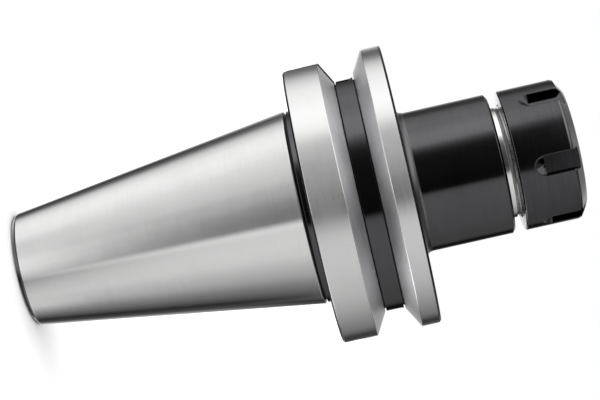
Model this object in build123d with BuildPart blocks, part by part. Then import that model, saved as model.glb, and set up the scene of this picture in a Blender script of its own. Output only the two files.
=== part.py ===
import os
from math import radians, tan

from build123d import *

os.makedirs("parts", exist_ok=True)

# Driving sizes, in millimetres. Z runs along the axis and points at the nut; z = 0 is the gauge line.

gauge_d = 69.85
taper_rate = 7 / 24
taper_len = 101.8
small_end_chamfer = 1.5

flange_d = 100.0
flange_rear_z = 3.0
flange_w = 35.0
flange_chamfer = 0.7
groove_from_rear = 20.25
groove_floor_d = 85.0
groove_floor_w = 7.1
groove_half_angle = 30.0
neck_groove_d = 68.2
neck_groove_w = 1.1
neck_ring_d = 69.2

drive_slot_w = 25.7
drive_slot_depth_from_axis = 35.4
drive_slot_corner_r = 3.0

body_d = 50.0
body_len = 32.2
body_end_chamfer = 0.8
body_root_chamfer = 2.0
pilot_d = 39.6
pilot_w = 1.9
nose_thread_d = 40.0
nose_thread_pitch = 1.5
nose_root_d = nose_thread_d - 1.2269 * nose_thread_pitch
nose_len = 17.2

pull_pilot_d = 25.0
pull_pilot_depth = 11.5
pull_minor_d = 20.752
pull_depth = 58.0
coolant_d = 10.0
clearance_bore_d = 23.0
clearance_bore_z = 22.0

collet_d = 33.0
collet_len = 40.0
collet_stick_out = 8.5
collet_seat_half_angle = 8.0
collet_head_half_angle = 30.0
collet_cone_len = 4.0
collet_land = 1.5
collet_groove_w = 3.2
collet_groove_d = 28.4
collet_bore_d = 16.0
collet_relief_d = 17.4
collet_gauge_len = 26.0
collet_slit_w = 0.9
collet_seat_clearance = 0.02
collet_slits = 8
front_slit_len = 34.5
rear_slit_len = 35.2

nut_wall = 5.0
nut_len = 22.3
nut_face_ahead = 0.4
nut_cone_len = 2.4
nut_cone_step = 4.0
nut_slots = 6
nut_slot_w = 6.75
nut_slot_len = 16.3
nut_slot_depth = 2.5
nut_slot_first_angle = -85.3
nut_thread_clearance = 0.12
nut_head_clearance = 0.35
nut_lip_offset = 1.0
nut_lip_w = 1.3

taper_half = taper_rate / 2
cut = 1.0


def tan_deg(angle):
    return tan(radians(angle))


def cone_radius(length, half_angle):
    return length * tan_deg(half_angle)


# Sizes that follow from the ones above.

flange_front_z = flange_rear_z + flange_w
groove_centre_z = flange_rear_z + groove_from_rear
body_end_z = flange_front_z + body_len
nose_end_z = body_end_z + nose_len
collet_front_z = nose_end_z + collet_stick_out
nut_front_z = collet_front_z + nut_face_ahead
nut_rear_z = nut_front_z - nut_len
gauge_r = gauge_d / 2
small_r = gauge_r - taper_len * taper_half
groove_top_w = groove_floor_w + (flange_d - groove_floor_d) * tan_deg(groove_half_angle)
groove_floor_a = groove_centre_z - groove_floor_w / 2
groove_floor_b = groove_centre_z + groove_floor_w / 2
groove_top_a = groove_centre_z - groove_top_w / 2
groove_top_b = groove_centre_z + groove_top_w / 2
collet_rear_z = collet_front_z - collet_len
collet_land_z = collet_front_z - collet_cone_len
collet_head_z = collet_land_z - collet_land
collet_seat_z = collet_head_z - collet_groove_w
collet_seat_r = collet_d / 2 - 0.12
collet_rear_r = collet_seat_r - cone_radius(collet_seat_z - collet_rear_z, collet_seat_half_angle)
collet_face_r = collet_d / 2 - cone_radius(collet_cone_len, collet_head_half_angle)

# Chuck body: one turned and ground steel piece with the taper shank, the gripper flange,
# the cylindrical body and the nose. The taper seats in the spindle, the flange's groove is
# held by the tool changer.

flange_r = flange_d / 2
floor_r = groove_floor_d / 2
mouth_r = collet_seat_r - cone_radius(collet_seat_z - nose_end_z, collet_seat_half_angle)
seat_back_z = nose_end_z - (mouth_r - clearance_bore_d / 2) / tan_deg(collet_seat_half_angle)

with BuildPart() as chuck_body:
    with BuildSketch(Plane.XZ) as body_section:
        with BuildLine():
            Polyline(
                (0, -taper_len),
                (small_r - small_end_chamfer, -taper_len),
                (small_r + small_end_chamfer * taper_half, -taper_len + small_end_chamfer),
                (gauge_r, 0),
                (neck_groove_d / 2, 0),
                (neck_groove_d / 2, neck_groove_w),
                (neck_ring_d / 2, neck_groove_w),
                (neck_ring_d / 2, flange_rear_z),
                (flange_r - flange_chamfer, flange_rear_z),
                (flange_r, flange_rear_z + flange_chamfer),
                (flange_r, groove_top_a),
                (floor_r, groove_floor_a),
                (floor_r, groove_floor_b),
                (flange_r, groove_top_b),
                (flange_r, flange_front_z - flange_chamfer),
                (flange_r - flange_chamfer, flange_front_z),
                (body_d / 2 + body_root_chamfer, flange_front_z),
                (body_d / 2, flange_front_z + body_root_chamfer),
                (body_d / 2, body_end_z - body_end_chamfer),
                (body_d / 2 - body_end_chamfer, body_end_z),
                (pilot_d / 2, body_end_z),
                (pilot_d / 2, body_end_z + pilot_w),
                (nose_root_d / 2, body_end_z + pilot_w),
                (nose_root_d / 2, nose_end_z),
                (0, nose_end_z),
                close=True,
            )
        make_face()
    revolve(axis=Axis.Z)

    # Collet seat and the bore behind it.
    with BuildSketch(Plane.XZ) as seat_section:
        with BuildLine():
            Polyline(
                (0, clearance_bore_z - clearance_bore_d / 2 * tan_deg(31)),
                (clearance_bore_d / 2, clearance_bore_z),
                (clearance_bore_d / 2, seat_back_z),
                (mouth_r, nose_end_z),
                (mouth_r + 0.4, nose_end_z + 0.4),
                (0, nose_end_z + 0.4),
                close=True,
            )
        make_face()
    revolve(axis=Axis.Z, mode=Mode.SUBTRACT)

    # Pull stud hole in the small end: pilot, tapping size hole and drill point.
    with BuildSketch(Plane.XZ) as pull_section:
        with BuildLine():
            Polyline(
                (0, -taper_len - cut),
                (pull_pilot_d / 2, -taper_len - cut),
                (pull_pilot_d / 2, -taper_len + pull_pilot_depth),
                (pull_minor_d / 2, -taper_len + pull_pilot_depth + 1.2),
                (pull_minor_d / 2, -taper_len + pull_depth),
                (0, -taper_len + pull_depth + pull_minor_d / 2 * tan_deg(31)),
                close=True,
            )
        make_face()
    revolve(axis=Axis.Z, mode=Mode.SUBTRACT)

    # Coolant hole between the two.
    with BuildSketch(Plane.XY.offset(-taper_len + pull_depth)) as coolant_hole:
        Circle(coolant_d / 2)
    extrude(amount=clearance_bore_z + taper_len - pull_depth, mode=Mode.SUBTRACT)

    # Two drive slots, milled through the rear rim and the groove floor.
    drive_slot_z = (flange_rear_z - cut + groove_floor_b) / 2
    drive_slot_len = groove_floor_b - flange_rear_z + cut
    for side in (1, -1):
        slot_floor = Plane(
            origin=(side * drive_slot_depth_from_axis, 0, 0), x_dir=(0, side, 0), z_dir=(side, 0, 0)
        )
        with BuildSketch(slot_floor) as slot_outline:
            with Locations((0, drive_slot_z)):
                Rectangle(drive_slot_w, drive_slot_len)
            far_corners = slot_outline.vertices().sort_by(Axis.Y)[2:]
            fillet(far_corners, radius=drive_slot_corner_r)
        extrude(amount=flange_r, mode=Mode.SUBTRACT)

chuck_body.part.label = "chuck_body"
export_step(chuck_body.part, "parts/chuck_body.step")

# Collet: a spring steel sleeve with sixteen slits, eight from each end, so that the seat and the
# nut's cone can close it on a tool shank. The ring groove takes the nut's lip.

with BuildPart() as collet:
    with BuildSketch(Plane.XZ) as collet_section:
        with BuildLine():
            Polyline(
                (collet_bore_d / 2, collet_front_z),
                (collet_face_r, collet_front_z),
                (collet_d / 2, collet_land_z),
                (collet_d / 2, collet_head_z),
                (collet_groove_d / 2, collet_head_z),
                (collet_groove_d / 2, collet_seat_z),
                (collet_seat_r - collet_seat_clearance, collet_seat_z),
                (collet_rear_r - collet_seat_clearance, collet_rear_z),
                (collet_relief_d / 2, collet_rear_z),
                (collet_relief_d / 2, collet_front_z - collet_gauge_len),
                (collet_bore_d / 2, collet_front_z - collet_gauge_len),
                close=True,
            )
        make_face()
    revolve(axis=Axis.Z)
    with PolarLocations(0, collet_slits):
        with Locations((collet_d / 2, 0, collet_front_z - front_slit_len / 2 + cut / 2)):
            Box(collet_d, collet_slit_w, front_slit_len + cut, mode=Mode.SUBTRACT)
    with PolarLocations(0, collet_slits, start_angle=180 / collet_slits):
        with Locations((collet_d / 2, 0, collet_rear_z + rear_slit_len / 2 - cut / 2)):
            Box(collet_d, collet_slit_w, rear_slit_len + cut, mode=Mode.SUBTRACT)

collet.part.label = "collet"
export_step(collet.part, "parts/collet.step")

# Clamping nut: screws onto the nose and presses the collet into its seat. The eccentric lip
# behind the inner cone pulls the collet out again. Six spanner slots are milled in its rim.

nut_r = nose_thread_d / 2 + nut_wall
nut_bore_r = nose_root_d / 2 + nut_thread_clearance
pocket_r = collet_d / 2 + nut_head_clearance
nut_mouth_r = collet_face_r + collet_seat_clearance - cone_radius(nut_face_ahead, collet_head_half_angle)
cone_back_z = collet_land_z - (nut_head_clearance - collet_seat_clearance) / tan_deg(collet_head_half_angle)
lip_z = collet_head_z - 1.1

with BuildPart() as clamping_nut:
    with BuildSketch(Plane.XZ) as nut_section:
        with BuildLine():
            Polyline(
                (nut_bore_r, nut_rear_z),
                (nut_r, nut_rear_z),
                (nut_r, nut_front_z - nut_cone_len),
                (nut_r - nut_cone_step, nut_front_z),
                (nut_mouth_r, nut_front_z),
                (pocket_r, cone_back_z),
                (pocket_r, lip_z),
                (nut_bore_r, lip_z),
                close=True,
            )
        make_face()
    revolve(axis=Axis.Z)

    # Eccentric lip: a full disc in the pocket, bored off the axis.
    lip_plane = Plane.XY.offset(lip_z - nut_lip_w)
    with BuildSketch(lip_plane) as lip_ring:
        Circle(nut_bore_r + 0.5)
        with Locations((nut_lip_offset, 0)):
            Circle(pocket_r - 0.1, mode=Mode.SUBTRACT)
    extrude(amount=nut_lip_w)

    # Spanner slots: flat floor, open at the front, round at the back.
    slot_floor_r = nut_r - nut_slot_depth
    slot_end_z = nut_front_z - nut_slot_len + nut_slot_w / 2
    slot_run = nut_front_z + cut - slot_end_z
    with PolarLocations(0, nut_slots, start_angle=nut_slot_first_angle):
        with Locations((slot_floor_r + nut_r / 2, 0, slot_end_z + slot_run / 2)):
            Box(nut_r, nut_slot_w, slot_run, mode=Mode.SUBTRACT)
        with Locations(Location((slot_floor_r + nut_r / 2, 0, slot_end_z), (0, 90, 0))):
            Cylinder(nut_slot_w / 2, nut_r, mode=Mode.SUBTRACT)

clamping_nut.part.label = "clamping_nut"
export_step(clamping_nut.part, "parts/clamping_nut.step")
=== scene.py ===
from math import ceil, cos, degrees, pi, radians, sin, tan

import bmesh
import bpy
from mathutils import Matrix, Vector


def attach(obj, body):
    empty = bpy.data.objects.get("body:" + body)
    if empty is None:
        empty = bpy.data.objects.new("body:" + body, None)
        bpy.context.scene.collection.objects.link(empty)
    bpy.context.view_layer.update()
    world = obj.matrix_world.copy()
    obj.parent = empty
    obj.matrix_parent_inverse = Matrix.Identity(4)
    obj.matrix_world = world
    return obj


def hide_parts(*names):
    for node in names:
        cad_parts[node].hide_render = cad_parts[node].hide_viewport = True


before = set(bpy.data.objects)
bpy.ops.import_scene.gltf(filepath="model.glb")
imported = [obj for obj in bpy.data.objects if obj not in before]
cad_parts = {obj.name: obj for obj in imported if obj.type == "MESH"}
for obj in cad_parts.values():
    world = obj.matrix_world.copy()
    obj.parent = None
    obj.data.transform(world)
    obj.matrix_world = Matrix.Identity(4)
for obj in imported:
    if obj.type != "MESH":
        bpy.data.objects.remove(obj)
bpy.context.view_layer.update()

# Camera: level with the flange and nearly square to the axis, a little to the side of one drive
# slot, with the frame rolled so that the nose points up to the right.
camera_place = Vector((-0.05295, -0.60517, 0.02659))
camera_aim = Vector((-0.00288, 0.0, -0.00125))
camera_roll = radians(-12.936)
camera = bpy.data.objects.new("camera", bpy.data.cameras.new("camera"))
bpy.context.collection.objects.link(camera)
camera.data.lens = 102.97
camera.data.clip_start = 0.01
back = (camera_place - camera_aim).normalized()
level = (-back).cross(Vector((-1, 0, 0))).normalized()
above = level.cross(-back)
right = cos(camera_roll) * level + sin(camera_roll) * above
up = cos(camera_roll) * above - sin(camera_roll) * level
camera.matrix_world = Matrix.Translation(camera_place) @ Matrix((right, up, back)).transposed().to_4x4()
bpy.context.scene.camera = camera

# Chuck body: a steel forging turned between centres, blackened, then ground on the taper, the
# flange rims, the groove's walls and the pilot ring. One piece, with two milled drive slots, a
# threaded nose and a tapped hole for the pull stud.

# Sizes in millimetres, heights from the gauge line.
gauge_r = 34.925
small_end_z = -101.8
small_end_r = 20.1
small_end_chamfer = 1.5
neck_r = 34.6
neck_groove_r = 33.2
neck_groove_z = 0.75
flange_r = 49.97
flange_rear_z = 3.0
flange_front_z = 38.0
flange_chamfer = 0.7
groove_z = 23.25
groove_mouth = 7.88
groove_foot = 3.61
groove_foot_r = 42.6
groove_floor_r = 42.5
corner_line_r = 41.5
corner_line_out = 3.53
corner_line_in = 3.09
drive_slot_w = 25.7
drive_slot_floor = 35.4
drive_slot_corner = 3.0
drive_slot_end_z = 26.8
body_r = 25.0
body_root_r = 2.6
body_end_z = 70.2
body_end_chamfer = 0.8
pilot_r = 19.8
pilot_end_z = 72.1
nose_core_r = 18.95
nose_end_z = 87.4
seat_mouth_r = 16.42
seat_end_r = 11.52
seat_end_z = 52.6
bore_r = 11.5
bore_end_z = 22.0
coolant_r = 5.0
coolant_low_z = -40.6
pull_thread_r = 12.1
pull_thread_crest_r = 10.376
pull_thread_top_z = -44.6
pull_pilot_r = 12.5
pull_pilot_top_z = -90.3


def nodes_of(tree):
    """Gives a function that adds a node by type, with its inputs and its settings."""
    def add(kind, inputs=None, **settings):
        node = tree.nodes.new(kind)
        for name, value in settings.items():
            setattr(node, name, value)
        for name, value in (inputs or {}).items():
            socket = node.inputs[name]
            if isinstance(value, bpy.types.NodeSocket):
                tree.links.new(value, socket)
            else:
                socket.default_value = value
        return node
    return add


def sums_of(add):
    """Gives a function that adds a Math node from its operation and its values."""
    def calc(operation, *values):
        return add("ShaderNodeMath", dict(enumerate(values)), operation=operation).outputs[0]
    return calc


def metal(name, colour, colour_worn, roughness, lines, line_depth, across=0.0, mottle=0.0):
    """Machined metal: tool lines that run round the axis, lines of them to a metre, a soft mottle
    and uneven gloss. Across stretches the reflections at right angles to the lines."""
    material = bpy.data.materials.new(name)
    material.use_nodes = True
    tree = material.node_tree
    tree.nodes.clear()
    add = nodes_of(tree)
    calc = sums_of(add)
    place = add("ShaderNodeTexCoord").outputs["Object"]
    apart = add("ShaderNodeSeparateXYZ", {0: place})
    flat = add("ShaderNodeCombineXYZ", {0: apart.outputs[0], 1: apart.outputs[1]}).outputs[0]
    radius = add("ShaderNodeVectorMath", {0: flat}, operation="LENGTH").outputs["Value"]
    line_length = add("ShaderNodeVectorMath", {0: flat, 1: (70, 70, 0)}, operation="MULTIPLY").outputs[0]
    line_height = calc("MULTIPLY", calc("ADD", apart.outputs[2], radius), lines)
    line_pitch = add("ShaderNodeCombineXYZ", {2: line_height}).outputs[0]
    line_space = add("ShaderNodeVectorMath", {0: line_length, 1: line_pitch}, operation="ADD").outputs[0]
    scratch = add("ShaderNodeTexNoise", {"Vector": line_space, "Scale": 1.0, "Detail": 4.0,
                                         "Roughness": 0.62}).outputs["Fac"]
    cloud = add("ShaderNodeTexNoise", {"Vector": place, "Scale": 95.0, "Detail": 3.0,
                                       "Roughness": 0.55}).outputs["Fac"]
    grain = add("ShaderNodeTexNoise", {"Vector": place, "Scale": 2600.0, "Detail": 2.0}).outputs["Fac"]
    blend = calc("MULTIPLY_ADD", cloud, 0.4, calc("MULTIPLY", scratch, 0.6))
    tone = add("ShaderNodeMapRange", {"Value": blend, "From Min": 0.38, "From Max": 0.62})
    mix = add("ShaderNodeMix", {"Factor": tone.outputs[0]}, data_type="RGBA")
    mix.inputs[6].default_value = (*colour, 1)
    mix.inputs[7].default_value = (*colour_worn, 1)
    gloss = add("ShaderNodeMapRange", {"Value": blend, "From Min": 0.3, "From Max": 0.7,
                                       "To Min": roughness * (0.85 - mottle),
                                       "To Max": roughness * (1.15 + mottle)})
    bump = add("ShaderNodeBump", {"Height": calc("MULTIPLY_ADD", grain, 0.35, scratch),
                                  "Strength": line_depth, "Distance": 0.00002})
    shader = add("ShaderNodeBsdfPrincipled", {"Base Color": mix.outputs[2], "Roughness": gloss.outputs[0],
                                              "Normal": bump.outputs[0], "Metallic": 1.0,
                                              "Anisotropic": across, "Anisotropic Rotation": 0.25})
    if across:
        around = add("ShaderNodeTangent", direction_type="RADIAL", axis="Z")
        tree.links.new(around.outputs[0], shader.inputs["Tangent"])
    output = add("ShaderNodeOutputMaterial")
    tree.links.new(shader.outputs[0], output.inputs["Surface"])
    return material


ground_steel = metal("ground_steel", (0.81, 0.81, 0.805), (0.86, 0.86, 0.855), roughness=0.30,
                     lines=5200, line_depth=0.08, across=0.88)
taper_steel = metal("taper_ground_steel", (0.77, 0.77, 0.765), (0.82, 0.82, 0.815), roughness=0.13,
                    lines=6200, line_depth=0.06, across=0.6)
groove_steel = metal("groove_steel", (0.76, 0.76, 0.775), (0.82, 0.82, 0.83), roughness=0.44,
                     lines=5200, line_depth=0.08, across=0.8)
turned_steel = metal("turned_steel", (0.56, 0.56, 0.57), (0.68, 0.68, 0.68), roughness=0.26,
                     lines=4200, line_depth=0.12)
worn_edge = metal("worn_edge", (0.84, 0.84, 0.83), (0.90, 0.90, 0.89), roughness=0.14,
                  lines=5200, line_depth=0.05)
black_oxide = metal("black_oxide", (0.090, 0.090, 0.094), (0.105, 0.105, 0.110), roughness=0.10,
                    lines=3000, line_depth=0.02, mottle=0.08)
# Lighter oxide: real wear on the nut's rim edges, and a painted sheen on the body's root fillet, where it
# stands for the light that the fillet catches.
worn_oxide_and_sheen = metal("worn_oxide_and_sheen", (0.15, 0.15, 0.155), (0.19, 0.19, 0.19), roughness=0.28,
                   lines=3000, line_depth=0.03)
# Painted shade: a near-black, rough finish laid on faces that lie in shade, namely the taper's end face,
# the neck groove, the flange chamfers and the relief grooves beside the V groove's floor.
painted_shade = metal("painted_shade", (0.020, 0.020, 0.022), (0.030, 0.030, 0.032),
                         roughness=0.40, lines=3000, line_depth=0.02)
FINISHES = {"Ground": ground_steel, "Black": black_oxide, "Turned": turned_steel,
            "Groove": groove_steel, "Edge": worn_edge, "Taper": taper_steel,
            "Painted Shade": painted_shade, "Worn And Sheen": worn_oxide_and_sheen}
GROUND, BLACK, TURNED, GROOVE, EDGE, TAPER, PAINTED_SHADE, WORN_AND_SHEEN, CUT = range(9)


def eased(stations):
    """Rounds the corners of a turning profile. Each station is (radius, z, finish that follows,
    corner radius), in millimetres; the arc takes the finish named fifth, or the one that follows.
    A narrow band on both sides of each arc keeps the long cuts evenly lit."""
    arc_step = 15
    band_w = 0.12
    out = []
    count = len(stations)
    for i, station in enumerate(stations):
        r, z, finish, ease = station[:4]
        if not ease:
            out.append((r, z, finish))
            continue
        here = Vector((r, z))
        to_before = Vector(stations[i - 1][:2]) - here
        to_after = Vector(stations[(i + 1) % count][:2]) - here
        before, after = to_before.normalized(), to_after.normalized()
        half = before.angle(after) / 2
        setback = ease / tan(half)
        centre = here + (before + after).normalized() * ease / sin(half)
        first = here + before * setback - centre
        last = here + after * setback - centre
        swing = first.angle_signed(last)
        steps = max(2, ceil(abs(degrees(swing)) / arc_step))
        arc_finish = station[4] if len(station) > 4 else finish
        band = centre + first + before * min(band_w, 0.2 * (to_before.length - setback))
        out.append((band.x, band.y, stations[i - 1][2]))
        for k in range(steps + 1):
            turn = -swing * k / steps
            point = centre + Matrix.Rotation(turn, 2) @ first
            out.append((point.x, point.y, finish if k == steps else arc_finish))
        band = centre + last + after * min(band_w, 0.2 * (to_after.length - setback))
        out.append((band.x, band.y, finish))
    return out


def profile_mesh(name, stations):
    """The turning profile as a chain of points, each with the finish of the cut that follows it."""
    mesh = bpy.data.meshes.new(name)
    closed = list(stations) + [stations[0]]
    mesh.from_pydata([(r / 1000, 0, z / 1000) for r, z, finish in closed],
                     [(i, i + 1) for i in range(len(closed) - 1)], [])
    marks = mesh.attributes.new("finish", "INT", "POINT")
    for i, station in enumerate(closed):
        marks.data[i].value = station[2]
    piece = bpy.data.objects.new(name, mesh)
    bpy.context.collection.objects.link(piece)
    return piece


def new_tree(name, inputs):
    """A Geometry Nodes tree with named inputs."""
    tree = bpy.data.node_groups.new(name, "GeometryNodeTree")
    tree.interface.new_socket("Geometry", in_out="INPUT", socket_type="NodeSocketGeometry")
    tree.interface.new_socket("Geometry", in_out="OUTPUT", socket_type="NodeSocketGeometry")
    for label, kind in inputs:
        tree.interface.new_socket(label, in_out="INPUT", socket_type="NodeSocket" + kind)
    return tree


def finished(tree, geometry, number, material):
    """Gives the faces that carry a finish's number their material."""
    add = nodes_of(tree)
    own = add("GeometryNodeInputNamedAttribute", {"Name": "finish"}, data_type="INT").outputs[0]
    same = add("FunctionNodeCompare", data_type="INT", operation="EQUAL")
    tree.links.new(own, same.inputs[2])
    same.inputs[3].default_value = number
    return add("GeometryNodeSetMaterial", {"Geometry": geometry, "Selection": same.outputs[0],
                                           "Material": material}).outputs[0]


def turning_tree():
    """Turns the profile round the Z axis and gives each cut its finish."""
    tree = new_tree("turning", [("Sides", "Int")] + [(label, "Material") for label in FINISHES])
    add = nodes_of(tree)
    calc = sums_of(add)
    given = add("NodeGroupInput").outputs
    profile = given["Geometry"]
    size = add("GeometryNodeAttributeDomainSize", {"Geometry": profile}, component="MESH")
    count = size.outputs["Point Count"]
    rows = calc("SUBTRACT", count, 1.0)
    grid = add("GeometryNodeMeshGrid", {"Size X": given["Sides"], "Size Y": rows,
                                        "Vertices X": calc("ADD", given["Sides"], 1.0),
                                        "Vertices Y": count})
    spot = add("ShaderNodeSeparateXYZ", {0: add("GeometryNodeInputPosition").outputs[0]})
    column = calc("MULTIPLY_ADD", given["Sides"], 0.5, spot.outputs[0])
    row = calc("MULTIPLY_ADD", rows, 0.5, spot.outputs[1])
    kept = add("GeometryNodeStoreNamedAttribute",
               {"Geometry": grid.outputs["Mesh"], "Name": "row", "Value": row},
               data_type="FLOAT", domain="POINT")
    whole = add("FunctionNodeFloatToInt", {0: row}, rounding_mode="ROUND").outputs[0]
    station = add("GeometryNodeSampleIndex", {"Geometry": profile, "Index": whole},
                  data_type="FLOAT_VECTOR", domain="POINT")
    tree.links.new(add("GeometryNodeInputPosition").outputs[0], station.inputs["Value"])
    taken = add("ShaderNodeSeparateXYZ", {0: station.outputs[0]}).outputs
    turn = calc("DIVIDE", calc("MULTIPLY", column, 2 * pi), given["Sides"])
    spun = add("ShaderNodeCombineXYZ", {0: calc("MULTIPLY", taken[0], calc("COSINE", turn)),
                                        1: calc("MULTIPLY", taken[0], calc("SINE", turn)), 2: taken[2]})
    shaped = add("GeometryNodeSetPosition", {"Geometry": kept.outputs[0], "Position": spun.outputs[0]})
    row_back = add("GeometryNodeInputNamedAttribute", {"Name": "row"}, data_type="FLOAT").outputs[0]
    face_row = add("FunctionNodeFloatToInt", {0: row_back}, rounding_mode="FLOOR").outputs[0]
    finish = add("GeometryNodeSampleIndex", {"Geometry": profile, "Index": face_row},
                 data_type="INT", domain="POINT")
    mark = add("GeometryNodeInputNamedAttribute", {"Name": "finish"}, data_type="INT")
    tree.links.new(mark.outputs[0], finish.inputs["Value"])
    marked = add("GeometryNodeStoreNamedAttribute",
                 {"Geometry": shaped.outputs[0], "Name": "finish", "Value": finish.outputs[0]},
                 data_type="INT", domain="FACE")
    merged = add("GeometryNodeMergeByDistance", {"Geometry": marked.outputs[0], "Distance": 0.000002})
    turned = add("GeometryNodeRealizeInstances", {"Geometry": merged.outputs[0]}).outputs[0]
    for number, label in enumerate(FINISHES):
        turned = finished(tree, turned, number, given[label])
    tree.links.new(turned, add("NodeGroupOutput").inputs[0])
    return tree


turning = turning_tree()


def cut_out(tree, given, cutters):
    """Cuts the cutters out of the incoming mesh and gives the new walls their own finish."""
    add = nodes_of(tree)
    marked = add("GeometryNodeStoreNamedAttribute", {"Geometry": cutters, "Name": "finish"},
                 data_type="INT", domain="FACE")
    marked.inputs["Value"].default_value = CUT
    cut = add("GeometryNodeMeshBoolean", {"Mesh 1": given["Geometry"]}, operation="DIFFERENCE",
              solver="EXACT")
    tree.links.new(marked.outputs[0], cut.inputs["Mesh 2"])
    whole = add("GeometryNodeRealizeInstances", {"Geometry": cut.outputs[0]})
    walls = finished(tree, whole.outputs[0], CUT, given["Wall Finish"])
    tree.links.new(walls, add("NodeGroupOutput").inputs[0])


def all_round(tree, given, cutter):
    """Repeats a cutter at even steps round the axis."""
    add = nodes_of(tree)
    calc = sums_of(add)
    spots = add("GeometryNodePoints", {"Count": given["Count"]})
    step = calc("DIVIDE", 2 * pi, given["Count"])
    angle = calc("MULTIPLY_ADD", add("GeometryNodeInputIndex").outputs[0], step, given["First Angle"])
    turn = add("ShaderNodeCombineXYZ", {2: angle}).outputs[0]
    cutters = add("GeometryNodeInstanceOnPoints", {"Points": spots.outputs[0], "Instance": cutter})
    tree.links.new(turn, cutters.inputs["Rotation"])
    return add("GeometryNodeRealizeInstances", {"Geometry": cutters.outputs[0]}).outputs[0]


def slots_tree():
    """Cuts the same slot at even steps round the axis. The slot has a flat floor, starts at one
    height and ends at another, and its corners are rounded in plan."""
    tree = new_tree("slots_round_the_axis", [
        ("Count", "Int"), ("First Angle", "Float"), ("Width", "Float"), ("Low", "Float"), ("High", "Float"),
        ("Corner", "Float"), ("Floor Radius", "Float"), ("Outer Radius", "Float"),
        ("Wall Finish", "Material")])
    add = nodes_of(tree)
    calc = sums_of(add)
    given = add("NodeGroupInput").outputs
    length = calc("SUBTRACT", given["High"], given["Low"])
    plan = add("GeometryNodeCurvePrimitiveQuadrilateral", {"Width": given["Width"], "Height": length})
    plan = add("GeometryNodeFilletCurve", {"Curve": plan.outputs[0], "Count": 7, "Radius": given["Corner"],
                                           "Limit Radius": True}, mode="POLY")
    face = add("GeometryNodeFillCurve", {"Curve": plan.outputs[0]}, mode="NGONS")
    depth = calc("SUBTRACT", given["Outer Radius"], given["Floor Radius"])
    lifted = add("GeometryNodeExtrudeMesh", {"Mesh": face.outputs[0], "Offset Scale": depth,
                                             "Individual": False})
    turned_over = add("GeometryNodeFlipFaces", {"Mesh": face.outputs[0]})
    closed = add("GeometryNodeJoinGeometry")
    tree.links.new(lifted.outputs[0], closed.inputs[0])
    tree.links.new(turned_over.outputs[0], closed.inputs[0])
    closed = add("GeometryNodeMergeByDistance", {"Geometry": closed.outputs[0], "Distance": 0.000001})
    middle = calc("MULTIPLY", calc("ADD", given["High"], given["Low"]), 0.5)
    out_to = add("ShaderNodeCombineXYZ", {0: given["Floor Radius"], 2: middle}).outputs[0]
    cutter = add("GeometryNodeTransform", {"Geometry": closed.outputs[0], "Translation": out_to,
                                           "Rotation": (pi / 2, 0, pi / 2)})
    cut_out(tree, given, all_round(tree, given, cutter.outputs[0]))
    return tree


slots_round = slots_tree()


def made(name, start, steps, smooth=28, broken=0.0):
    """Runs Geometry Nodes trees on a starting object and keeps the result as a plain mesh. Edges
    that turn by more than smooth degrees look sharp. Broken is the width by which the outer edges
    of milled cuts are broken."""
    for tree, values in steps:
        modifier = start.modifiers.new(tree.name, "NODES")
        modifier.node_group = tree
        for item in tree.interface.items_tree:
            if item.item_type == "SOCKET" and item.in_out == "INPUT" and item.name in values:
                modifier[item.identifier] = values[item.name]
    done = start.evaluated_get(bpy.context.evaluated_depsgraph_get())
    mesh = bpy.data.meshes.new_from_object(done)
    mesh.name = name
    bpy.data.objects.remove(start)
    shell = bmesh.new()
    shell.from_mesh(mesh)
    bmesh.ops.remove_doubles(shell, verts=shell.verts, dist=0.000001)
    bmesh.ops.dissolve_degenerate(shell, edges=shell.edges, dist=0.000001)
    bmesh.ops.recalc_face_normals(shell, faces=shell.faces)
    eased_faces = set()
    if broken:
        mark = shell.faces.layers.int["finish"]
        rims = [edge for edge in shell.edges if len(edge.link_faces) == 2
                and (edge.link_faces[0][mark] == CUT) != (edge.link_faces[1][mark] == CUT)
                and edge.calc_face_angle_signed() > radians(30)]
        bevel = bmesh.ops.bevel(shell, geom=rims, offset=broken, segments=2, profile=0.5, affect="EDGES",
                                clamp_overlap=False, material=-1)
        eased_faces = set(bevel["faces"])
    for face in shell.faces:
        face.smooth = True
    for edge in shell.edges:
        at_bevel = len({face in eased_faces for face in edge.link_faces}) == 2
        edge.smooth = not at_bevel and edge.calc_face_angle(pi) < radians(smooth)
    shell.to_mesh(mesh)
    shell.free()
    for label in ("row", "finish"):
        if label in mesh.attributes:
            mesh.attributes.remove(mesh.attributes[label])
    piece = bpy.data.objects.new(name, mesh)
    bpy.context.collection.objects.link(piece)
    return piece


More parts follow.
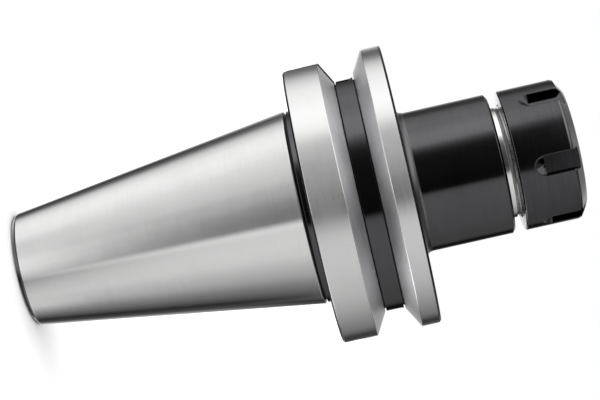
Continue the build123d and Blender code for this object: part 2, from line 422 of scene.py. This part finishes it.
mm = 0.001
# The near-black finish on the taper's end face, the neck groove, the flange chamfers and the relief grooves
# in the V groove is painted shade.
body_profile = eased([
    (pull_pilot_r + 1.0, small_end_z, BLACK, 0), (small_end_r - small_end_chamfer, small_end_z, BLACK, 0.5),
    (small_end_r + 0.2, small_end_z + small_end_chamfer, TAPER, 0.9, BLACK),
    (gauge_r, 0.0, PAINTED_SHADE, 0.4, EDGE), (neck_groove_r, 0.0, PAINTED_SHADE, 0),
    (neck_groove_r, neck_groove_z, BLACK, 0), (neck_r, neck_groove_z, BLACK, 0.15),
    (neck_r, flange_rear_z, BLACK, 0.2),
    (flange_r - flange_chamfer, flange_rear_z, PAINTED_SHADE, 0.2),
    (flange_r, flange_rear_z + flange_chamfer, GROUND, 0.2, EDGE),
    (flange_r, groove_z - groove_mouth, GROOVE, 0.35, EDGE),
    (groove_foot_r, groove_z - groove_foot, PAINTED_SHADE, 0),
    (corner_line_r, groove_z - corner_line_out, PAINTED_SHADE, 0),
    (corner_line_r, groove_z - corner_line_in, PAINTED_SHADE, 0),
    (groove_floor_r, groove_z - corner_line_in, BLACK, 0.06),
    (groove_floor_r, groove_z + corner_line_in, PAINTED_SHADE, 0.06, BLACK),
    (corner_line_r, groove_z + corner_line_in, PAINTED_SHADE, 0),
    (corner_line_r, groove_z + corner_line_out, PAINTED_SHADE, 0),
    (groove_foot_r, groove_z + groove_foot, GROOVE, 0),
    (flange_r, groove_z + groove_mouth, GROUND, 0.35, EDGE),
    (flange_r, flange_front_z - flange_chamfer - 0.05, PAINTED_SHADE, 0.1),
    (flange_r - flange_chamfer, flange_front_z, BLACK, 0.2),
    # The root fillet carries the lighter oxide as a painted sheen.
    (body_r, flange_front_z, BLACK, body_root_r, WORN_AND_SHEEN),
    (body_r, body_end_z - body_end_chamfer, BLACK, 0.3),
    (body_r - body_end_chamfer, body_end_z, BLACK, 0.15),
    (pilot_r, body_end_z, EDGE, 0), (pilot_r, pilot_end_z, TURNED, 0.15),
    (nose_core_r, pilot_end_z + 0.4, TURNED, 0), (nose_core_r, nose_end_z - 0.5, TURNED, 0),
    (nose_core_r - 0.55, nose_end_z, GROUND, 0), (seat_mouth_r, nose_end_z, GROUND, 0.15),
    (seat_end_r, seat_end_z, BLACK, 0), (bore_r, bore_end_z, BLACK, 0),
    (coolant_r, bore_end_z - 3.9, BLACK, 0), (coolant_r, coolant_low_z, BLACK, 0),
    (pull_thread_crest_r, coolant_low_z - 3.2, BLACK, 0), (pull_thread_r, pull_thread_top_z, BLACK, 0),
    (pull_thread_r, pull_pilot_top_z + 0.6, BLACK, 0), (pull_pilot_r, pull_pilot_top_z, TURNED, 0),
    (pull_pilot_r, small_end_z + 1.0, TURNED, 0.1),
])
chuck = made("chuck_body_turned", profile_mesh("body_profile", body_profile), [
    (turning, {"Sides": 288, **FINISHES}),
    (slots_round, {"Count": 2, "First Angle": 0.0, "Width": drive_slot_w * mm,
                   "Low": (flange_rear_z - 9) * mm, "High": drive_slot_end_z * mm,
                   "Corner": drive_slot_corner * mm,
                   "Floor Radius": drive_slot_floor * mm, "Outer Radius": (flange_r + 6) * mm,
                   "Wall Finish": black_oxide}),
])
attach(chuck, "chuck")
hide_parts("chuck_body")

# Threads of the chuck body: the bright 1.5 mm thread on the nose, which takes the nut, and the
# coarse 3 mm thread inside the small end, which takes the pull stud. Both are cut in the lathe.


def thread_tree():
    """A screw thread as a closed ring. Rows follow the helix, four to a turn; the ends are cut
    square and fade into the core. Crest Radius and Root Radius are the thread's two flats, and
    Core Radius is the buried back of the ring. Half Crest is half the width of the crest's flat."""
    tree = new_tree("thread", [
        ("Sides", "Int"), ("Pitch", "Float"), ("Turns", "Int"), ("Low", "Float"), ("High", "Float"),
        ("Crest Radius", "Float"), ("Root Radius", "Float"), ("Core Radius", "Float"),
        ("Half Crest", "Float"), ("Lead In", "Float"), ("Finish", "Material")])
    add = nodes_of(tree)
    calc = sums_of(add)
    given = add("NodeGroupInput").outputs
    rows = calc("MULTIPLY", given["Turns"], 4.0)
    row_points = calc("ADD", rows, 2.0)
    size_y = calc("ADD", rows, 1.0)
    columns = calc("ADD", given["Sides"], 1.0)
    grid = add("GeometryNodeMeshGrid", {"Size X": given["Sides"], "Size Y": size_y,
                                        "Vertices X": columns, "Vertices Y": row_points})
    spot = add("ShaderNodeSeparateXYZ", {0: add("GeometryNodeInputPosition").outputs[0]})
    column = calc("ROUND", calc("MULTIPLY_ADD", given["Sides"], 0.5, spot.outputs[0]))
    row = calc("ROUND", calc("MULTIPLY_ADD", size_y, 0.5, spot.outputs[1]))
    share = calc("DIVIDE", column, given["Sides"])
    turn_number = calc("FLOOR", calc("DIVIDE", calc("ADD", row, 0.5), 4.0))
    step = calc("SUBTRACT", row, calc("MULTIPLY", turn_number, 4.0))
    thread_depth = calc("SUBTRACT", given["Crest Radius"], given["Root Radius"])
    flank = calc("MULTIPLY", calc("ABSOLUTE", thread_depth), tan(radians(30)))
    half_root = calc("ADD", given["Half Crest"], flank)
    before = calc("SUBTRACT", given["Pitch"], half_root)
    last = calc("SUBTRACT", given["Pitch"], given["Half Crest"])
    at_1 = calc("COMPARE", step, 1.0, 0.1)
    at_2 = calc("COMPARE", step, 2.0, 0.1)
    at_3 = calc("COMPARE", step, 3.0, 0.1)
    at_0 = calc("COMPARE", step, 0.0, 0.1)
    offset = calc("MULTIPLY", at_0, given["Half Crest"])
    offset = calc("MULTIPLY_ADD", at_1, half_root, offset)
    offset = calc("MULTIPLY_ADD", at_2, before, offset)
    offset = calc("MULTIPLY_ADD", at_3, last, offset)
    on_crest = calc("ADD", at_0, at_3)
    radius = calc("MULTIPLY_ADD", on_crest, thread_depth, given["Root Radius"])
    base = calc("SUBTRACT", given["Low"], given["Pitch"])
    first = calc("MULTIPLY", calc("FLOOR", calc("DIVIDE", base, given["Pitch"])), given["Pitch"])
    height = calc("MULTIPLY_ADD", calc("ADD", turn_number, share), given["Pitch"],
                  calc("ADD", first, offset))
    held = calc("MINIMUM", calc("MAXIMUM", height, given["Low"]), given["High"])
    to_end = calc("MINIMUM", calc("SUBTRACT", held, given["Low"]), calc("SUBTRACT", given["High"], held))
    fade = calc("MINIMUM", calc("DIVIDE", to_end, given["Lead In"]), 1.0)
    outward = calc("SIGN", calc("SUBTRACT", given["Crest Radius"], given["Core Radius"]))
    reach = calc("MULTIPLY", calc("SUBTRACT", radius, given["Core Radius"]), outward)
    full = calc("MULTIPLY", calc("SUBTRACT", given["Crest Radius"], given["Core Radius"]), outward)
    full_root = calc("MULTIPLY", calc("SUBTRACT", given["Root Radius"], given["Core Radius"]), outward)
    limit = calc("MULTIPLY", calc("MAXIMUM", full, full_root), fade)
    reach = calc("MINIMUM", reach, limit)
    final_radius = calc("MULTIPLY_ADD", reach, outward, given["Core Radius"])
    closing = calc("COMPARE", row, size_y, 0.1)
    keep = calc("SUBTRACT", 1.0, closing)
    final_radius = calc("MULTIPLY_ADD", final_radius, keep, calc("MULTIPLY", given["Core Radius"], closing))
    held = calc("MULTIPLY_ADD", held, keep, calc("MULTIPLY", given["Low"], closing))
    turn = calc("MULTIPLY", share, 2 * pi)
    spun = add("ShaderNodeCombineXYZ", {0: calc("MULTIPLY", final_radius, calc("COSINE", turn)),
                                        1: calc("MULTIPLY", final_radius, calc("SINE", turn)), 2: held})
    shaped = add("GeometryNodeSetPosition", {"Geometry": grid.outputs["Mesh"], "Position": spun.outputs[0]})
    merged = add("GeometryNodeMergeByDistance", {"Geometry": shaped.outputs[0], "Distance": 0.000003})
    whole = add("GeometryNodeRealizeInstances", {"Geometry": merged.outputs[0]})
    done = add("GeometryNodeSetMaterial", {"Geometry": whole.outputs[0], "Material": given["Finish"]})
    tree.links.new(done.outputs[0], add("NodeGroupOutput").inputs[0])
    return tree


thread = thread_tree()


def threaded(name, **sizes):
    """A thread ring from the thread tree."""
    start = bpy.data.objects.new(name + "_start", bpy.data.meshes.new(name + "_start"))
    bpy.context.collection.objects.link(start)
    inputs = {key.replace("_", " "): value for key, value in sizes.items()}
    return made(name, start, [(thread, inputs)], smooth=24)


nose_pitch = 1.5
nose_thread = threaded("nose_thread", Sides=144, Pitch=nose_pitch * mm, Turns=13,
                       Low=(pilot_end_z + 0.15) * mm, High=(nose_end_z - 0.1) * mm,
                       Crest_Radius=19.95 * mm, Root_Radius=19.08 * mm,
                       Core_Radius=(nose_core_r - 0.25) * mm, Half_Crest=0.11 * mm, Lead_In=0.9 * mm,
                       Finish=turned_steel)
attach(nose_thread, "chuck")

pull_thread = threaded("pull_stud_thread", Sides=96, Pitch=3.0 * mm, Turns=18,
                       Low=(pull_pilot_top_z + 0.9) * mm, High=(pull_thread_top_z - 0.2) * mm,
                       Crest_Radius=pull_thread_crest_r * mm, Root_Radius=(pull_thread_r - 0.1) * mm,
                       Core_Radius=(pull_thread_r + 0.2) * mm, Half_Crest=0.375 * mm, Lead_In=1.6 * mm,
                       Finish=black_oxide)
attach(pull_thread, "chuck")

# Clamping nut: turned from steel bar, blackened, with a ground inner cone. Six spanner slots are
# milled from the front, each with a sloping round end, and the eccentric lip draws the collet out.
nut_r = 25.0
nut_rear_z = 74.0
nut_rear_chamfer = 0.5
nut_rim_z = 92.9
nut_front_z = 96.3
nut_cone_len = 2.4
nut_face_r = 21.1
nut_mouth_r = 14.56
nut_seat_r = 16.347
nut_seat_z = 92.2
nut_pocket_r = 16.85
nut_thread_r = 20.35
nut_thread_end_z = 87.7
spanner_slot_w = 6.75
spanner_slot_floor = 22.5
spanner_slot_z = 83.4
nut_steel = metal("nut_black_oxide", (0.070, 0.070, 0.075), (0.088, 0.088, 0.093), roughness=0.10,
                  lines=2600, line_depth=0.02, mottle=0.10)
nut_profile = eased([
    (nut_thread_r, nut_rear_z, TURNED, 0), (nut_r - nut_rear_chamfer, nut_rear_z, BLACK, 0.1, TURNED),
    (nut_r, nut_rear_z + nut_rear_chamfer, BLACK, 0.25, WORN_AND_SHEEN), (nut_r, nut_rim_z, WORN_AND_SHEEN, 0.1, BLACK),
    (nut_r - 0.24, nut_rim_z + 0.55, BLACK, 0), (nut_r - 0.3, nut_front_z - nut_cone_len, BLACK, 0),
    (nut_face_r, nut_front_z, BLACK, 0.4), (nut_mouth_r + 0.89, nut_front_z, GROUND, 0.1),
    (nut_mouth_r, nut_front_z - 1.0, GROUND, 0.1), (nut_seat_r, nut_seat_z, BLACK, 0),
    (nut_pocket_r, nut_seat_z, BLACK, 0), (nut_pocket_r, nut_thread_end_z, BLACK, 0),
    (nut_thread_r, nut_thread_end_z, TURNED, 0),
])


def spanner_slots_tree():
    """Slots from the front of the nut. Each is a milled bar with a round end that slopes up to
    the rim."""
    tree = new_tree("spanner_slots", [
        ("Count", "Int"), ("First Angle", "Float"), ("Width", "Float"), ("End Height", "Float"),
        ("Front Height", "Float"), ("Floor Radius", "Float"), ("Rim Radius", "Float"),
        ("End Floor", "Float"), ("Wall Finish", "Material")])
    add = nodes_of(tree)
    calc = sums_of(add)
    given = add("NodeGroupInput").outputs
    tall = calc("MULTIPLY", calc("SUBTRACT", given["Rim Radius"], given["Floor Radius"]), 2.0)
    length = calc("SUBTRACT", given["Front Height"], given["End Height"])
    size = add("ShaderNodeCombineXYZ", {0: tall, 1: given["Width"], 2: length}).outputs[0]
    bar = add("GeometryNodeMeshCube", {"Size": size})
    bar_z = calc("MULTIPLY_ADD", length, 0.5, given["End Height"])
    bar_at = add("ShaderNodeCombineXYZ", {0: given["Rim Radius"], 2: bar_z}).outputs[0]
    bar = add("GeometryNodeTransform", {"Geometry": bar.outputs[0], "Translation": bar_at})
    wide = calc("SUBTRACT", given["Width"], given["End Floor"])
    end = add("GeometryNodeMeshCone", {"Vertices": 40, "Radius Top": wide,
                                       "Radius Bottom": given["End Floor"], "Depth": tall})
    end_at = add("ShaderNodeCombineXYZ", {0: given["Floor Radius"], 2: given["End Height"]}).outputs[0]
    end = add("GeometryNodeTransform", {"Geometry": end.outputs[0], "Translation": end_at,
                                        "Rotation": (0, pi / 2, 0)})
    both = add("GeometryNodeMeshBoolean", operation="UNION", solver="EXACT")
    tree.links.new(bar.outputs[0], both.inputs["Mesh 2"])
    tree.links.new(end.outputs[0], both.inputs["Mesh 2"])
    cut_out(tree, given, all_round(tree, given, both.outputs[0]))
    return tree


nut = made("clamping_nut_turned", profile_mesh("nut_profile", nut_profile), [
    (turning, {"Sides": 240, **FINISHES, "Black": nut_steel}),
    (spanner_slots_tree(), {"Count": 6, "First Angle": radians(-85.3), "Width": spanner_slot_w * mm,
                            "End Height": spanner_slot_z * mm, "Front Height": (nut_front_z + 2.1) * mm,
                            "Floor Radius": spanner_slot_floor * mm, "Rim Radius": nut_r * mm,
                            "End Floor": 0.4 * mm, "Wall Finish": nut_steel}),
], smooth=17, broken=0.3 * mm)
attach(nut, "nut")
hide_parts("clamping_nut")

# Nut thread: cut in the nut's bore at the nose thread's pitch and phase, a tenth of a millimetre
# clear of it, and left bright.
nut_thread = threaded("nut_thread", Sides=144, Pitch=nose_pitch * mm, Turns=11,
                      Low=(nut_rear_z + 0.3) * mm, High=(nut_thread_end_z - 0.1) * mm,
                      Crest_Radius=20.06 * mm, Root_Radius=19.19 * mm,
                      Core_Radius=(nut_thread_r + 0.25) * mm, Half_Crest=0.13 * mm, Lead_In=1.2 * mm,
                      Finish=turned_steel)
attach(nut_thread, "nut")

# Eccentric lip: the blackened ring inside the nut's front, part of the same steel. Its bore is
# turned off the axis, so that one side of it hooks into the collet's ring groove.
lip_bore_r = 16.75
lip_outer_r = 20.3
lip_offset = 1.0
lip_rear_z = 88.0
lip_front_z = 89.3
lip_sides = 160
lip = bmesh.new()
lip_rings = []
for height in (lip_rear_z * mm, lip_front_z * mm):
    for reach, offset in ((lip_bore_r * mm, lip_offset * mm), (lip_outer_r * mm, 0.0)):
        turns = [2 * pi * k / lip_sides for k in range(lip_sides)]
        lip_rings.append([lip.verts.new((offset + reach * cos(turn), reach * sin(turn), height))
                          for turn in turns])
inner_low, outer_low, inner_high, outer_high = lip_rings
for one, two in ((inner_low, outer_low), (outer_low, outer_high), (outer_high, inner_high),
                 (inner_high, inner_low)):
    for k in range(lip_sides):
        lip.faces.new((one[k - 1], one[k], two[k], two[k - 1]))
bmesh.ops.recalc_face_normals(lip, faces=lip.faces)
lip_mesh = bpy.data.meshes.new("eccentric_lip")
lip.to_mesh(lip_mesh)
lip.free()
lip_mesh.materials.append(nut_steel)
for face in lip_mesh.polygons:
    face.use_smooth = True
lip_mesh.set_sharp_from_angle(angle=radians(30))
eccentric_lip = bpy.data.objects.new("eccentric_lip", lip_mesh)
bpy.context.collection.objects.link(eccentric_lip)
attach(eccentric_lip, "nut")

# Collet: a hardened spring steel sleeve, ground on its cones and slit from both ends by a thin
# saw, so that it closes evenly on a tool shank. It sits in the nut's cone and the nose.
collet_front_z = 95.9
collet_rear_z = 55.9
collet_bore_r = 8.0
collet_relief_r = 8.7
collet_relief_z = 69.9
collet_face_r = 14.19
collet_head_r = 16.48
collet_head_z = 91.9
collet_ring_r = 14.2
collet_ring_front_z = 90.4
collet_ring_rear_z = 87.2
collet_seat_r = 16.34
collet_tail_r = 11.98
slit_w = 0.9
front_slit_end_z = 61.4
rear_slit_end_z = 91.1
collet_steel = metal("collet_ground_steel", (0.62, 0.62, 0.60), (0.70, 0.70, 0.68), roughness=0.16,
                     lines=6400, line_depth=0.18, across=0.4)
collet_profile = eased([
    (collet_bore_r, collet_front_z - 0.5, TURNED, 0.1), (collet_bore_r + 0.5, collet_front_z, GROUND, 0.1),
    (collet_face_r, collet_front_z, GROUND, 0.2), (collet_head_r, collet_head_z, GROUND, 0.15),
    (collet_head_r, collet_ring_front_z, TURNED, 0.15), (collet_ring_r, collet_ring_front_z, TURNED, 0.1),
    (collet_ring_r, collet_ring_rear_z, TURNED, 0.1), (collet_seat_r, collet_ring_rear_z, GROUND, 0.15),
    (collet_tail_r, collet_rear_z + 0.3, GROUND, 0.2), (collet_tail_r - 0.28, collet_rear_z, GROUND, 0),
    (collet_relief_r, collet_rear_z, TURNED, 0.2), (collet_relief_r, collet_relief_z, TURNED, 0),
    (collet_bore_r, collet_relief_z, GROUND, 0),
])
slit = {"Count": 8, "Width": slit_w * mm, "Corner": 0.44 * mm, "Floor Radius": (collet_bore_r - 3) * mm,
        "Outer Radius": (collet_head_r + 1.52) * mm, "Wall Finish": turned_steel}
collet = made("collet_slit", profile_mesh("collet_profile", collet_profile), [
    (turning, {"Sides": 192, **FINISHES, "Ground": collet_steel}),
    (slots_round, {**slit, "First Angle": 0.0, "Low": front_slit_end_z * mm,
                   "High": (collet_front_z + 2) * mm}),
    (slots_round, {**slit, "First Angle": pi / 8, "Low": (collet_rear_z - 2) * mm,
                   "High": rear_slit_end_z * mm}),
])
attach(collet, "collet")
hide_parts("collet")

# Studio: a plain white floor under the holder's small end and soft light all round, brightest
# above and in front, so that the metal has long soft reflections.
floor_z = small_end_z * mm
floor_mesh = bpy.data.meshes.new("floor")
floor_mesh.from_pydata([(-4, -4, floor_z), (4, -4, floor_z), (4, 4, floor_z), (-4, 4, floor_z)], [],
                       [(0, 1, 2, 3)])
floor_white = bpy.data.materials.new("floor_white")
floor_white.use_nodes = True
floor_paint = floor_white.node_tree.nodes["Principled BSDF"].inputs
floor_paint["Base Color"].default_value = (0.93, 0.93, 0.93, 1)
floor_paint["Roughness"].default_value = 0.9
floor_mesh.materials.append(floor_white)
floor = bpy.data.objects.new("floor", floor_mesh)
bpy.context.collection.objects.link(floor)
floor.visible_glossy = False

world = bpy.data.worlds.new("studio")
bpy.context.scene.world = world
world.use_nodes = True
sky = world.node_tree
sky.nodes.clear()
add = nodes_of(sky)
calc = sums_of(add)
toward = add("ShaderNodeSeparateXYZ", {0: add("ShaderNodeTexCoord").outputs["Generated"]}).outputs
swing = calc("ARCTAN2", calc("MULTIPLY", toward[0], -1.0), calc("MULTIPLY", toward[1], -1.0))
swing = calc("MULTIPLY_ADD", swing, 1 / (2 * pi), 0.5)


def light_round(levels):
    """Brightness of the light by its angle round the holder's axis: 0 in front, 90 overhead."""
    ramp = add("ShaderNodeValToRGB", {0: swing})
    stops = ramp.color_ramp.elements
    while len(stops) < len(levels):
        stops.new(0.5)
    for stop, (angle, brightness) in zip(stops, levels):
        stop.position = angle / 360 + 0.5
        stop.color = (brightness, brightness, brightness, 1)
    return ramp.outputs[0]


# What steel mirrors on faces square to the camera, on slanting ones, and towards the shank and
# the nose. Each stop is an angle and a brightness.
square = light_round([
    (-180, 2.0), (-167, 0.5), (-155, 0.05), (-140, 0.0), (-125, 0.27), (-108, 0.40), (-92, 0.52),
    (-65, 0.62), (-35, 0.70), (-25, 0.68), (-20, 0.57), (-14, 0.02), (35, 0.05), (45, 0.09),
    (51, 0.24), (57, 0.60), (64, 1.36), (72, 1.50), (82, 1.50), (95, 1.24), (110, 1.12),
    (125, 0.74), (138, 0.22), (152, 0.10), (166, 0.6), (180, 2.0),
])
slanting = light_round([
    (-180, 1.2), (-162, 0.6), (-142, 0.08), (-125, 0.02), (-110, 0.13), (-95, 0.24), (-80, 0.43),
    (-65, 0.56), (-50, 0.73), (-35, 0.78), (-20, 0.78), (-13, 0.88), (-6, 0.20), (5, 0.20),
    (15, 0.27), (25, 0.42), (35, 0.52), (43, 0.66), (57, 0.78), (70, 0.86), (82, 1.0),
    (95, 1.08), (110, 1.03), (125, 0.76), (140, 0.16), (155, 0.02), (165, 0.3), (180, 1.2),
])
shank_side = light_round([
    (-180, 0.8), (-172, 0.4), (-160, 0.05), (-140, 0.3), (-122, 1.6), (-105, 2.4), (-85, 1.8),
    (-65, 0.85), (-45, 0.52), (-25, 0.30), (-18, 0.20), (-12, 0.50), (-5, 0.95), (10, 1.20),
    (25, 1.15), (40, 0.92), (60, 0.76), (80, 1.15), (95, 0.85), (112, 0.28), (128, 0.05),
    (150, 0.30), (160, 1.0), (170, 1.1), (180, 0.8),
])
nose_side = light_round([
    (-180, 1.3), (-172, 1.2), (-160, 1.0), (-145, 0.5), (-130, 0.3), (-100, 0.25), (-60, 0.2),
    (-20, 0.2), (-8, 0.3), (5, 0.5), (20, 0.9), (50, 1.3), (75, 1.3), (100, 1.2),
    (130, 0.5), (152, 0.30), (157, 0.35), (161, 0.6), (168, 0.7), (180, 1.3),
])
light = square
for slope, start, end, wider in ((calc("ABSOLUTE", toward[2]), 0.08, 0.20, slanting),
                                 (calc("MULTIPLY", toward[2], -1.0), 0.38, 0.52, shank_side),
                                 (toward[2], 0.38, 0.52, nose_side)):
    share = add("ShaderNodeMapRange", {"Value": slope, "From Min": start, "From Max": end},
                interpolation_type="SMOOTHSTEP").outputs[0]
    both = add("ShaderNodeMix", {"Factor": share}, data_type="RGBA")
    sky.links.new(light, both.inputs[6])
    sky.links.new(wider, both.inputs[7])
    light = both.outputs[2]
seen = add("ShaderNodeBackground", {"Color": (1, 1, 1, 1), "Strength": 1.0})
lit = add("ShaderNodeBackground", {"Color": light, "Strength": 1.0})
either = add("ShaderNodeMixShader")
sky.links.new(add("ShaderNodeLightPath").outputs["Is Camera Ray"], either.inputs[0])
sky.links.new(lit.outputs[0], either.inputs[1])
sky.links.new(seen.outputs[0], either.inputs[2])
sky.links.new(either.outputs[0], add("ShaderNodeOutputWorld").inputs[0])

ceiling = bpy.data.objects.new("ceiling_light", bpy.data.lights.new("ceiling_light", "SUN"))
bpy.context.collection.objects.link(ceiling)
ceiling.data.angle = radians(80)
ceiling.data.energy = 3.4
ceiling.visible_glossy = False

bpy.context.scene.view_settings.view_transform = "Standard"
